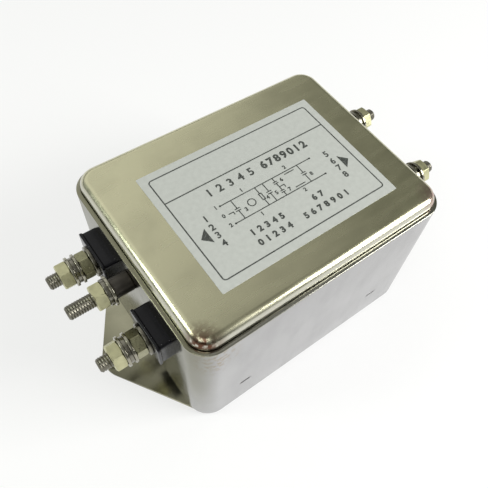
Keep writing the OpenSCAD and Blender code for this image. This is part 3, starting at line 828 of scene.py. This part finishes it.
class Print:
    """Flat ink marks on the label."""

    # The least share of a line's width that a sharp bend leaves
    BEND_LIMIT = 0.5
    DOT_STEPS = 24

    def __init__(self, low, high):
        self.low = low
        self.high = high
        self.shape = Shape()

    def patch(self, outline):
        """Inks a closed outline without holes."""
        self.shape.closed([self.shape.ring((x, y, z) for x, y in outline) for z in (self.low, self.high)])

    def band(self, points, width, closed=False):
        """Inks a line of the given width through the points."""
        count = len(points)
        sides = ([], [])
        for i, point in enumerate(points):
            here = Vector(point)
            a = here - Vector(points[i - 1]) if i or closed else None
            b = Vector(points[(i + 1) % count]) - here if i < count - 1 or closed else None
            a = (a or b).normalized()
            b = (b or a).normalized()
            left = Vector((-a.y - b.y, a.x + b.x)).normalized()
            reach = width / 2 / max(left.dot(Vector((-a.y, a.x))), self.BEND_LIMIT)
            sides[0].append(tuple(here + left * reach))
            sides[1].append(tuple(here - left * reach))
        if not closed:
            self.patch(sides[0] + sides[1][::-1])
            return
        rings = []
        for side, z in ((0, self.low), (0, self.high), (1, self.high), (1, self.low)):
            rings.append(self.shape.ring((x, y, z) for x, y in sides[side]))
        self.shape.skin(rings + rings[:1])

    def dot(self, x, y, radius):
        """Inks a round dot."""
        self.patch(arc(x, y, radius, 0, 360, self.DOT_STEPS)[:-1])

    def figures(self, text, x, y, height, bold):
        """Inks plain figures of a height in metres, with their middle at x, y in millimetres."""
        curve = bpy.data.curves.new("figures", "FONT")
        curve.body = text
        curve.align_x = "CENTER"
        curve.align_y = "CENTER"
        curve.size = height / FIGURE_SHARE
        curve.offset = bold
        curve.space_character = FIGURE_SPACING
        curve.extrude = (self.high - self.low) / 2
        curve.resolution_u = 4
        words = bpy.data.objects.new("figures", curve)
        bpy.context.scene.collection.objects.link(words)
        bpy.context.view_layer.update()
        mesh = words.evaluated_get(bpy.context.evaluated_depsgraph_get()).to_mesh()
        middle = (self.low + self.high) / 2
        start = len(self.shape.points)
        self.shape.ring((x * MM + v.co.x, y * MM + v.co.y, middle + v.co.z) for v in mesh.vertices)
        for face in mesh.polygons:
            self.shape.faces.append(tuple(start + i for i in face.vertices))
        bpy.data.objects.remove(words)
        bpy.data.curves.remove(curve)


# The print's places are in millimetres from the filter's middle, x along it and y across it.
# The frame's left, right, lower and upper line, the rule, and the frame's corner radius.
FRAME = (-25.8, 28.6, -19.2, 17.3)
RULE_Y = 8.6
FRAME_CORNER = 0.9
ARROWS = (
    ((-24.0, -6.1), (-21.5, -3.6), (-21.5, -8.5)),
    ((26.6, -6.1), (24.2, -3.6), (24.2, -8.5)),
)
# The circuit drawing: heights of its rails, and half the gap and half the width of a capacitor
RAIL_TOP, RAIL_MIDDLE, RAIL_BOTTOM = 0.1, -3.4, -6.8
GAP_HALF, SIGN_HALF = 0.35, 0.8
RAILS = (
    ((-14.0, RAIL_TOP), (17.0, RAIL_TOP)),
    ((-13.6, RAIL_BOTTOM), (17.4, RAIL_BOTTOM)),
)
RAIL_DOTS = ((-14.0, RAIL_TOP), (-13.6, RAIL_BOTTOM), (17.0, RAIL_TOP), (17.4, RAIL_BOTTOM))
DOT_RADIUS = 0.3
X_CAPACITORS = (-10.6, 0.0, 12.2)
# The resistor's left side, middle, right side and half height
RESISTOR = (-3.0, -2.6, -2.2, 1.1)
# The two small capacitors to ground: their place, plate ends, heights and half gap
Y_CAPACITORS = (3.4, 2.7, 4.1, (-1.7, -5.1), 0.3)
GROUND_WIRES = (
    ((3.4, RAIL_MIDDLE), (5.0, RAIL_MIDDLE), (5.0, RAIL_MIDDLE - 0.9)),
    ((-13.6, RAIL_MIDDLE), (-12.1, RAIL_MIDDLE), (-12.1, RAIL_MIDDLE - 0.9)),
    ((7.2, -0.7), (10.6, -0.7)),
    ((7.2, -6.0), (10.6, -6.0)),
)
CHOKE_X, CHOKE_Y, CHOKE_RADIUS = -6.1, -3.5, 1.15

# Height of a figure as a share of its font size, and the space between figures
FIGURE_SHARE, FIGURE_SPACING = 0.7, 1.15
# Single figures of the title row: place of the first, spacing, how many, first figure, added weight
TITLE_Y = 5.2
TITLE_RUNS = ((-13.9, 3.45, 5, 1, 0.09), (4.4, 2.4, 7, 6, 0.14))
# Columns of figures beside the end arrows
COLUMNS_Y = (-1.4, -4.5, -7.3, -10.2)
COLUMNS = ((-19.5, 1), (22.1, 5))
COLUMN_WEIGHT = 0.07
ROWS = (("1 2 3 4 5", -6.8, -11.6), ("0 1 2 3 4", -6.8, -15.2), ("6 7", 10.5, -11.6),
        ("5 6 7 8 9 0 1", 10.8, -15.2))
ROW_SHARE, ROW_WEIGHT = 0.9, 0.13
PART_FIGURES = (
    ("1", -6.1, 1.4), ("2", 8.8, 1.4), ("1", -5.9, -8.1), ("2", 8.9, -8.1), ("3", -8.6, -4.6),
    ("4", -1.4, -4.6), ("5", 1.6, -4.6), ("6", 5.4, -1.7), ("7", 5.4, -5.6), ("8", 14.0, -4.6),
    ("1", -15.3, 0.2), ("0", -15.0, -3.2), ("2", -15.0, -6.6),
)
PART_HEIGHT, PART_WEIGHT = 1.2, 0.06


class FILTER_OT_label(bpy.types.Operator):
    """Build the label film and its print: a frame, a circuit drawing, arrows and plain figures"""

    bl_idname = "power_filter.label"
    bl_label = "Label"

    FILM_EDGE = 0.04 * MM
    # How deep the ink's underside lies in the film
    SINK = 0.01 * MM

    def execute(self, context):
        s = context.scene.filter_label
        low, high = LABEL_LOW, LABEL_HIGH
        centre = (low + high) / 2
        half = (high - low) / 2
        top = high.z - s.print_depth
        xs, ys = ([s.corner - side, side - s.corner] for side in (half.x, half.y))
        profile = ((0.0, low.z), (0.0, top - self.FILM_EDGE), (self.FILM_EDGE, top))
        shape = Shape()
        rings = box_rings(shape, half.x, half.y, s.corner, profile, xs, ys, 6)
        shape.place(lambda p: (p.x + centre.x, p.y + centre.y, p.z))
        shape.closed(rings)
        show("label_film", shape.mesh("label_film"), "case", "label_film", label_film(), "label")
        ink = Print(top - self.SINK, high.z)
        self.frame_lines(ink, s)
        self.circuit(ink, s)
        self.rows(ink, s)
        show("label_print", ink.shape.mesh("label_print"), "case", "label_film", label_print())
        return {"FINISHED"}

    def frame_lines(self, ink, s):
        """The frame with its round corners, the rule under the bare band and the end arrows."""
        left, right, bottom, top = (v * MM for v in FRAME)
        radius = FRAME_CORNER * MM
        xs, ys = (left + radius, right - radius), (bottom + radius, top - radius)
        loop = []
        for across, up, start in ((1, 0, -90), (1, 1, 0), (0, 1, 90), (0, 0, 180)):
            loop += arc(xs[across], ys[up], radius, start, start + 90, 5)
        ink.band(loop, s.line, closed=True)
        ink.band([(left, RULE_Y * MM), (right, RULE_Y * MM)], s.line)
        for arrow in ARROWS:
            ink.patch([(x * MM, y * MM) for x, y in arrow])

    def circuit(self, ink, s):
        """A plain two-stage circuit drawing."""
        def line(*points, closed=False):
            ink.band([(x * MM, y * MM) for x, y in points], s.thin_line, closed)

        for rail in RAILS:
            line(*rail)
        for x, y in RAIL_DOTS:
            ink.dot(x * MM, y * MM, DOT_RADIUS * MM)
        for x in X_CAPACITORS:
            line((x, RAIL_TOP), (x, RAIL_MIDDLE + GAP_HALF))
            line((x, RAIL_MIDDLE - GAP_HALF), (x, RAIL_BOTTOM))
            for y in (RAIL_MIDDLE - GAP_HALF, RAIL_MIDDLE + GAP_HALF):
                line((x - SIGN_HALF, y), (x + SIGN_HALF, y))
        left, x, right, half = RESISTOR
        low, high = RAIL_MIDDLE - half, RAIL_MIDDLE + half
        line((x, RAIL_TOP), (x, high))
        line((x, low), (x, RAIL_BOTTOM))
        line((left, high), (right, high), (right, low), (left, low), closed=True)
        x, left, right, heights, gap = Y_CAPACITORS
        for y in heights:
            for plate in (y - gap, y + gap):
                line((left, plate), (right, plate))
        upper, lower = heights
        for start, stop in ((RAIL_TOP, upper + gap), (upper - gap, lower + gap), (lower - gap, RAIL_BOTTOM)):
            line((x, start), (x, stop))
        for wire in GROUND_WIRES:
            line(*wire)
        ring = arc(CHOKE_X * MM, CHOKE_Y * MM, CHOKE_RADIUS * MM, 0, 340, 17)
        ink.band(ring, s.thin_line, closed=True)

    def rows(self, ink, s):
        """Plain figures where the label has words and ratings."""
        for x, spacing, count, first, weight in TITLE_RUNS:
            for i in range(count):
                ink.figures(str((first + i) % 10), x + spacing * i, TITLE_Y, s.title, weight * MM)
        for i, y in enumerate(COLUMNS_Y):
            for x, first in COLUMNS:
                ink.figures(str(first + i), x, y, s.text, COLUMN_WEIGHT * MM)
        for text, x, y in ROWS:
            ink.figures(text, x, y, s.text * ROW_SHARE, ROW_WEIGHT * MM)
        for text, x, y in PART_FIGURES:
            ink.figures(text, x, y, PART_HEIGHT * MM, PART_WEIGHT * MM)


# Room round a stud in the blocks and washers, and in the nuts
STUD_CLEARANCE, NUT_CLEARANCE = 0.15 * MM, 0.05 * MM


class FILTER_OT_blocks(bpy.types.Operator):
    """Build the four black terminal blocks"""

    bl_idname = "power_filter.blocks"
    bl_label = "Terminal blocks"

    CORNER = 0.8 * MM
    SOFT = 0.22 * MM
    # Small chamfers on the lip, and on the bore and boss
    LIP_BREAK, BREAK = 0.1 * MM, 0.2 * MM
    # Points each way from the middle of the short and the long sides
    SHORT_STEPS, LONG_STEPS = 4, 6

    def execute(self, context):
        s = context.scene.filter_hardware
        material = black_moulding()
        for name in TERMINALS:
            shape = Shape()
            self.block(shape, s)
            shape.place(on_axis(name))
            piece = name + "_moulding"
            show(piece, shape.mesh(piece), "case", "black_moulding", material, name + "_block")
        return {"FINISHED"}

    def block(self, shape, s):
        """A rounded block with a proud lip, a boss behind it and a bore through both."""
        half_x, half_y = s.block_height / 2, s.block_width / 2
        out, reach, soft = s.block_out, s.lip_out, self.SOFT
        under = out - s.lip
        profile = [(0.0, 0.0), (0.0, under - soft)]
        profile += [(self.LIP_BREAK - reach, under), (-reach, under + self.LIP_BREAK)]
        profile += arc(soft - reach, out - soft, soft, 180, 90, 4)
        xs, ys = (
            [(-1 + i / steps) * (side - self.CORNER) for i in range(2 * steps + 1)]
            for side, steps in ((half_x, self.SHORT_STEPS), (half_y, self.LONG_STEPS))
        )
        rings = box_rings(shape, half_x, half_y, self.CORNER, profile, xs, ys, 7)
        angles = [math.atan2(p.y, p.x) for p in (shape.points[i] for i in rings[0])]
        bore = s.stud + STUD_CLEARANCE
        back = -boss_depth()
        for radius, z in (
            (bore + self.BREAK, out), (bore, out - self.BREAK), (bore, back),
            (s.boss - self.BREAK, back), (s.boss, back + self.BREAK), (s.boss, 0.0),
        ):
            rings.append(shape.ring((radius * math.cos(a), radius * math.sin(a), z) for a in angles))
        shape.skin(rings + rings[:1])


def boss_depth():
    """Depth of a block's boss behind the wall's outer face."""
    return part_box("line_l_block")[1].x + END_X


# Half widths of a thread's flat crest and of its flank, as shares of half a pitch
CREST_SHARE, FLANK_SHARE = 0.12, 0.76


def thread(shape, s, start, hand):
    """A threaded rod along local z from start to the stud's tip, with a chamfered end."""
    per_turn, per_pitch = 40, 8
    rows = round((s.stud_out - start) / (s.pitch / per_pitch))
    rings = []
    for row in range(rows + 1):
        z = start + (s.stud_out - start) * row / rows
        ring = []
        for i in range(per_turn):
            turn = i / per_turn
            wave = abs(((z / s.pitch - hand * turn) % 1.0) * 2 - 1)
            flank = min(max((wave - CREST_SHARE) / FLANK_SHARE, 0.0), 1.0)
            radius = s.stud - s.thread_depth * flank
            radius = min(radius, s.stud_out - z + s.stud - s.stud_chamfer)
            angle = 2 * math.pi * turn
            ring.append((radius * math.cos(angle), radius * math.sin(angle), z))
        rings.append(shape.ring(ring))
    shape.closed(rings)


# A hexagon's corner radius, the width of the ring between its face and its flats, and the
# chamfer's slope; the chamfer of a nut's bore
HEX_CORNER, HEX_RING, HEX_SLOPE = 0.22 * MM, 0.18 * MM, 0.5
BORE_SINK = 0.32 * MM


def hexagon(across, turn, per_side=10):
    """Outline of a hexagon with slightly rounded corners, one corner at local +x plus turn."""
    centre = (across / 2 - HEX_CORNER) / math.cos(math.pi / 6)
    corners = []
    for k in range(6):
        degrees = turn + 60 * k
        middle = math.radians(degrees)
        x, y = centre * math.cos(middle), centre * math.sin(middle)
        corners.append(arc(x, y, HEX_CORNER, degrees - 30, degrees + 30, 4))
    points = []
    for corner, following in zip(corners, corners[1:] + corners[:1]):
        first, last = Vector(corner[-1]), Vector(following[0])
        points += corner + [tuple(first.lerp(last, i / per_side)) for i in range(1, per_side)]
    return points


def circle(shape, outline, radius, z):
    """A circle with a point in line with each point of an outline."""
    return shape.ring((radius * x / math.hypot(x, y), radius * y / math.hypot(x, y), z) for x, y in outline)


def flats(shape, outline, face, z, way):
    """The hexagon's edge, taken back by the chamfer where it reaches past the face's radius."""
    return shape.ring(
        (x, y, z - way * max(math.hypot(x, y) - face, 0.0) * HEX_SLOPE) for x, y in outline
    )


def nut(shape, s, low, turn):
    """A hexagon nut with round chamfers on both faces and a countersunk bore."""
    high = low + s.nut
    outline = hexagon(s.across_flats, turn)
    face = s.across_flats / 2 - HEX_RING
    bore = s.stud + NUT_CLEARANCE
    rings = [
        circle(shape, outline, bore, low + BORE_SINK),
        circle(shape, outline, bore + BORE_SINK, low),
        circle(shape, outline, face, low),
        flats(shape, outline, face, low, -1),
        flats(shape, outline, face, high, 1),
        circle(shape, outline, face, high),
        circle(shape, outline, bore + BORE_SINK, high),
        circle(shape, outline, bore, high - BORE_SINK),
    ]
    shape.skin(rings + rings[:1])


def head(shape, s, low):
    """A stud's hexagon head, with its chamfered face at the height low."""
    outline = hexagon(s.across_flats, 0.0)
    face = s.across_flats / 2 - HEX_RING
    rings = [circle(shape, outline, face, low), flats(shape, outline, face, low, -1)]
    rings.append(shape.ring((x, y, low + s.head) for x, y in outline))
    shape.closed(rings)


class FILTER_OT_studs(bpy.types.Operator):
    """Build the five studs with their threads and heads"""

    bl_idname = "power_filter.studs"
    bl_label = "Studs"

    # How far the thread's rod reaches into the head
    ROD_IN = 0.2 * MM

    def execute(self, context):
        s = context.scene.filter_hardware
        material = plated("nickel_stud", context.scene.filter_finishes.stud, rough=0.34, mark=0.8 * MM)
        for name, end in ENDS.items():
            node = name + "_stud"
            low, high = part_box(node)
            head_low = (low.x if end > 0 else -high.x) - END_X
            shape = Shape()
            head(shape, s, head_low)
            thread(shape, s, head_low + s.head - self.ROD_IN, end)
            shape.place(on_axis(name))
            mesh = shape.mesh(node, sharp=50.0)
            show(name + "_threaded_stud", mesh, "case", "nickel_stud", material, node)
        return {"FINISHED"}


def stack(s, name):
    """Heights of the fasteners over the end wall: first flat washer, spring washer, second, nut."""
    if name == "ground":
        first = s.collar
        spring = first + s.flat
        return first, spring, None, spring + s.spring
    first = s.block_out + s.contact + s.nut
    spring = first + s.flat
    second = spring + s.spring
    return first, spring, second, second + s.flat


class FILTER_OT_nuts(bpy.types.Operator):
    """Build the inner and outer nuts"""

    bl_idname = "power_filter.nuts"
    bl_label = "Nuts"

    # Nuts keep their edges: only angles below this many degrees are shaded round
    SHARP = 25.0

    def execute(self, context):
        s = context.scene.filter_hardware
        base = context.scene.filter_finishes.nut
        material = plated("zinc_nut", base, rough=0.42, mark=1.2 * MM)
        # A darker, glossier copy of the nut plating for the inner nuts
        dark_plating = plated("zinc_nut_worn", darker(base, 0.6), rough=0.3, mark=2.0 * MM)
        shape = Shape()
        for name in TERMINALS:
            first = len(shape.points)
            nut(shape, s, s.block_out + s.contact, INNER_TURNS[name])
            shape.place(on_axis(name), first)
        mesh = shape.mesh("inner_nuts", self.SHARP)
        show("inner_nut_set", mesh, "case", "zinc_nut", dark_plating, "inner_nuts")
        for name in ENDS:
            shape = Shape()
            nut(shape, s, stack(s, name)[3], OUTER_TURNS[name])
            shape.place(on_axis(name))
            node = name + "_nut"
            show(name + "_hex_nut", shape.mesh(node, self.SHARP), node, "zinc_nut", material, node)
        return {"FINISHED"}


class FILTER_OT_washers(bpy.types.Operator):
    """Build the contact washers, flat washers, spring washers and the ground collar"""

    bl_idname = "power_filter.washers"
    bl_label = "Washers"

    # Radii of the rims' edges
    CONTACT_EDGE, FLAT_EDGE, SPRING_EDGE, COLLAR_EDGE = 0.2 * MM, 0.16 * MM, 0.14 * MM, 0.35 * MM
    # Slant of a spring washer's split, in degrees
    SLANT = 20

    def execute(self, context):
        s = context.scene.filter_hardware
        finishes = context.scene.filter_finishes
        flat = plated("washer_steel", finishes.washer, rough=0.2, mark=1.0 * MM)
        contact = plated("washer_steel_dull", darker(finishes.washer, 0.6), rough=0.24, mark=1.0 * MM)
        spring = plated("spring_steel", finishes.spring, rough=0.22, mark=0.6 * MM)
        collar = plated("bronze_collar", finishes.collar, rough=0.4, mark=0.9 * MM)
        hole = s.stud + STUD_CLEARANCE
        shape = Shape()
        for name in TERMINALS:
            first = len(shape.points)
            section = washer_profile(hole, s.contact_radius, s.block_out, s.contact, self.CONTACT_EDGE)
            turned(shape, section, s.turn_steps)
            shape.place(on_axis(name), first)
        mesh = shape.mesh("contact_washers")
        show("contact_washer_set", mesh, "case", "washer_steel", contact, "contact_washers")
        for name in ENDS:
            first_at, spring_at, second_at, _ = stack(s, name)
            body = name + "_washers"
            shape = Shape()
            for at in (first_at, second_at):
                if at is not None:
                    section = washer_profile(hole, s.flat_radius, at, s.flat, self.FLAT_EDGE)
                    turned(shape, section, s.turn_steps)
            shape.place(on_axis(name))
            node = "ground_flat_washer" if name == "ground" else name + "_flat_washers"
            show(name + "_plain_washers", shape.mesh(node), body, "washer_steel", flat, node)
            shape = Shape()
            self.split_ring(shape, s, hole, spring_at, SPLIT_TURNS[name])
            shape.place(on_axis(name))
            mesh = shape.mesh(name + "_spring")
            node = name + "_spring_washer"
            show(name + "_split_washer", mesh, body, "spring_steel", spring, node)
        shape = Shape()
        section = washer_profile(hole, s.collar_radius, 0.0, s.collar, self.COLLAR_EDGE)
        turned(shape, section, s.turn_steps)
        shape.place(on_axis("ground"))
        mesh = shape.mesh("ground_collar")
        show("ground_collar_tube", mesh, "case", "bronze_collar", collar, "ground_collar")
        return {"FINISHED"}

    def split_ring(self, shape, s, hole, low, turn):
        """A spring washer with a slanted split."""
        section = washer_profile(hole, s.spring_radius, low, s.spring, self.SPRING_EDGE)
        slant = math.tan(math.radians(self.SLANT))
        middle = low + s.spring / 2
        steps = s.turn_steps
        rings = []
        for i in range(steps + 1):
            ring = []
            for radius, z in section:
                lean = -(z - middle) * slant
                start = math.asin((s.split / 2 + lean) / radius)
                stop = 2 * math.pi - math.asin((s.split / 2 - lean) / radius)
                angle = math.radians(turn) + start + (stop - start) * i / steps
                ring.append((radius * math.cos(angle), radius * math.sin(angle), z))
            rings.append(shape.ring(ring))
        shape.closed(rings)


# Finishes inside the can: name, colour, roughness, metal, second colour, size of the grain and
# depth of the bump in millimetres, and the nodes that have it
INNER_FINISHES = (
    ("liner_paper", (0.46, 0.34, 0.20), 0.7, 0.0, (0.36, 0.25, 0.14), 2.0, 0.05, ("liner",)),
    ("potting_resin", (0.05, 0.05, 0.055), 0.3, 0.0, (0.09, 0.09, 0.09), 6.0, 0.05, ("potting",)),
    ("board", (0.04, 0.16, 0.07), 0.4, 0.0, (0.03, 0.12, 0.05), 1.2, 0.02, ("circuit_board",)),
    ("ferrite", (0.05, 0.06, 0.055), 0.5, 0.0, (0.08, 0.09, 0.085), 0.6, 0.02,
     ("choke_1_core", "choke_2_core")),
    ("divider_fibre", (0.62, 0.58, 0.48), 0.6, 0.0, (0.5, 0.45, 0.36), 0.8, 0.02,
     ("choke_1_divider", "choke_2_divider")),
    ("capacitor_case", (0.62, 0.42, 0.05), 0.4, 0.0, (0.52, 0.34, 0.04), 1.5, 0.02,
     ("line_x_capacitor", "middle_x_capacitor", "load_x_capacitor")),
    ("disc_coat", (0.04, 0.13, 0.42), 0.35, 0.0, (0.03, 0.10, 0.34), 0.9, 0.03,
     ("line_y_capacitor", "neutral_y_capacitor")),
    ("resistor_coat", (0.20, 0.42, 0.50), 0.4, 0.0, (0.15, 0.34, 0.42), 0.7, 0.02, ("bleed_resistor",)),
    ("live_wire", (0.32, 0.13, 0.06), 0.4, 0.0, (0.26, 0.10, 0.05), 0.8, 0.02,
     ("line_l_lead", "load_l_lead")),
    ("neutral_wire", (0.04, 0.10, 0.40), 0.4, 0.0, (0.03, 0.08, 0.32), 0.8, 0.02,
     ("line_n_lead", "load_n_lead")),
    ("earth_wire", (0.10, 0.42, 0.08), 0.4, 0.0, (0.50, 0.46, 0.05), 1.0, 0.02, ("ground_lead",)),
    ("tag_brass", (0.66, 0.60, 0.44), 0.28, 1.0, (0.45, 0.38, 0.24), 1.2, 0.02, ("ring_tags",)),
    ("black_moulding", (0.02, 0.02, 0.024), 0.35, 0.0, (0.05, 0.05, 0.055), 0.9, 0.02,
     ("inner_insulators",)),
    ("washer_steel", (0.58, 0.56, 0.50), 0.26, 1.0, (0.40, 0.37, 0.30), 1.0, 0.02,
     ("ground_pad_washer",)),
    ("winding_wire", (0.50, 0.16, 0.05), 0.3, 0.6, (0.36, 0.10, 0.03), 1.2, 0.02,
     ("choke_1_line_winding", "choke_1_neutral_winding", "choke_2_line_winding",
      "choke_2_neutral_winding")),
)


class FILTER_OT_inner(bpy.types.Operator):
    """Finish the parts inside the can"""

    bl_idname = "power_filter.inner"
    bl_label = "Inner parts"

    def execute(self, context):
        for name, base, rough, metal, other, size, depth, nodes in INNER_FINISHES:
            material = plain_finish(name + "_inside", base, rough, metal, other, size * MM, depth * MM)
            for node in nodes:
                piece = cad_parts[node]
                if not piece.material_slots:
                    raise RuntimeError(node + " has no material slot")
                for slot in piece.material_slots:
                    slot.material = material
        return {"FINISHED"}


class FILTER_PT_panel(bpy.types.Panel):
    """Lists the filter's builders"""

    bl_idname = "FILTER_PT_panel"
    bl_label = "Power line filter"
    bl_space_type = "VIEW_3D"
    bl_region_type = "UI"
    bl_category = "Filter"

    def draw(self, context):
        for operator in OPERATORS:
            self.layout.operator(operator.bl_idname)
        for name in GROUPS:
            group = getattr(context.scene, name)
            box = self.layout.box()
            for field in group.bl_rna.properties:
                if field.identifier not in ("rna_type", "name"):
                    box.prop(group, field.identifier)


OPERATORS = (
    FILTER_OT_stage, FILTER_OT_can, FILTER_OT_lid, FILTER_OT_plate, FILTER_OT_label, FILTER_OT_blocks,
    FILTER_OT_studs, FILTER_OT_nuts, FILTER_OT_washers, FILTER_OT_inner,
)
GROUPS = {
    "filter_can": CanSizes,
    "filter_label": LabelSizes,
    "filter_hardware": HardwareSizes,
    "filter_finishes": Finishes,
    "filter_studio": Studio,
}


def register():
    """Registers the groups, operators and panel."""
    for name, group in GROUPS.items():
        bpy.utils.register_class(group)
        setattr(bpy.types.Scene, name, PointerProperty(type=group))
    for operator in OPERATORS:
        bpy.utils.register_class(operator)
    bpy.utils.register_class(FILTER_PT_panel)


def unregister():
    """Takes the panel, operators and groups out again."""
    bpy.utils.unregister_class(FILTER_PT_panel)
    for operator in reversed(OPERATORS):
        bpy.utils.unregister_class(operator)
    for name, group in GROUPS.items():
        delattr(bpy.types.Scene, name)
        bpy.utils.unregister_class(group)


def main():
    """Builds every piece in order."""
    register()
    for operator in OPERATORS:
        group, name = operator.bl_idname.split(".")
        getattr(getattr(bpy.ops, group), name)()


if __name__ == "__main__":
    main()
